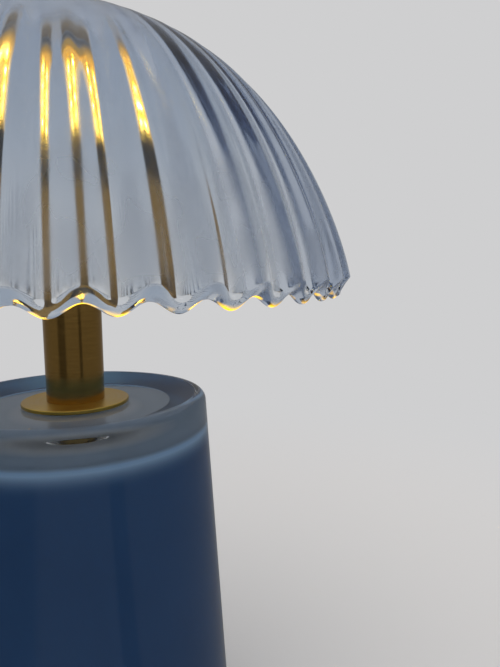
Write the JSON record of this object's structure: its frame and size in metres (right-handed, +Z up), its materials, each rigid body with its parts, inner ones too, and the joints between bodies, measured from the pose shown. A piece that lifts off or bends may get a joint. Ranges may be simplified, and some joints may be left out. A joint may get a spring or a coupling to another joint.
{
  "type": "portable table lamp",
  "caption": "Portable table lamp with a fluted clear-glass dome shade and scalloped rim on a brass stem, over a tapered blue glass base that holds battery cells.",
  "frame": {"origin": "on the table, under the middle of the foot ring", "axes": "+Z up along the stem, -Y towards the switch under the foot"},
  "size_m": [0.1542, 0.1542, 0.2175],
  "materials": {
    "shade_glass": "clear pressed glass, faint blue-grey, fire-polished",
    "base_glass": "clear glass over a blue lacquered cavity",
    "brass": "brushed, lacquered",
    "black_holder": "moulded, satin",
    "clear_acrylic": "extruded, clear",
    "led": "warm yellow phosphor, emissive",
    "led_strip": "white solder mask",
    "aluminium": "extruded, satin",
    "steel": "zinc plated",
    "nickel": "nickel plated strip",
    "silicone": "translucent, moulded",
    "black_rubber": "moulded, matte",
    "chassis_plastic": "moulded, fine spark texture",
    "cage_plastic": "moulded",
    "cell_jacket": "plain shrink sleeve",
    "foam": "closed-cell foam",
    "board": "glass-fibre board, green mask",
    "component": "moulded",
    "wire": "insulated wire"
  },
  "bodies": {
    "lamp": {"glass_base": "base_glass", "flange": "brass", "flange_gasket": "silicone", "stem_tube": "brass", "stem_insert": "brass", "threaded_nipple": "steel", "glass_washer": "black_rubber", "clamp_washer": "steel", "hex_nut": "steel", "led_holder": "black_holder", "light_tube": "clear_acrylic", "led_post": "aluminium", "led_strips": "led_strip", "led_chips": "led", "tube_cap": "brass", "shade_seat_washer": "silicone", "chassis": "chassis_plastic", "plug_seal": "silicone", "foot_ring": "black_rubber", "battery_cage": "cage_plastic", "battery_cells": "cell_jacket", "cage_contacts": "nickel", "well_contacts": "nickel", "control_board": "board", "board_components": "component", "board_screws": "steel", "switch_body": "component", "led_leads": "wire", "battery_leads": "wire"},
    "shade": {"glass_shade": "shade_glass", "shade_top_washer": "silicone"},
    "finial": {"finial": "brass"},
    "door": {"battery_door": "chassis_plastic", "door_pad": "foam"},
    "switch": {"switch_slider": "component"}
  },
  "joints": [
    {"name": "shade_lift", "type": "slide", "parent": "lamp", "child": "shade", "axis": [0, 0, 1], "range_m": [0, 0.09]},
    {"name": "finial_turn", "type": "hinge", "parent": "shade", "child": "finial", "pos_m": [0, 0, 0.2059], "axis": [0, 0, 1], "continuous": true},
    {"name": "door_twist", "type": "hinge", "parent": "lamp", "child": "door", "pos_m": [0, 0, 0.003], "axis": [0, 0, 1], "range_deg": [0, 30]},
    {"name": "switch_slide", "type": "slide", "parent": "lamp", "child": "switch", "axis": [1, 0, 0], "range_m": [0, 0.0025]}
  ]
}
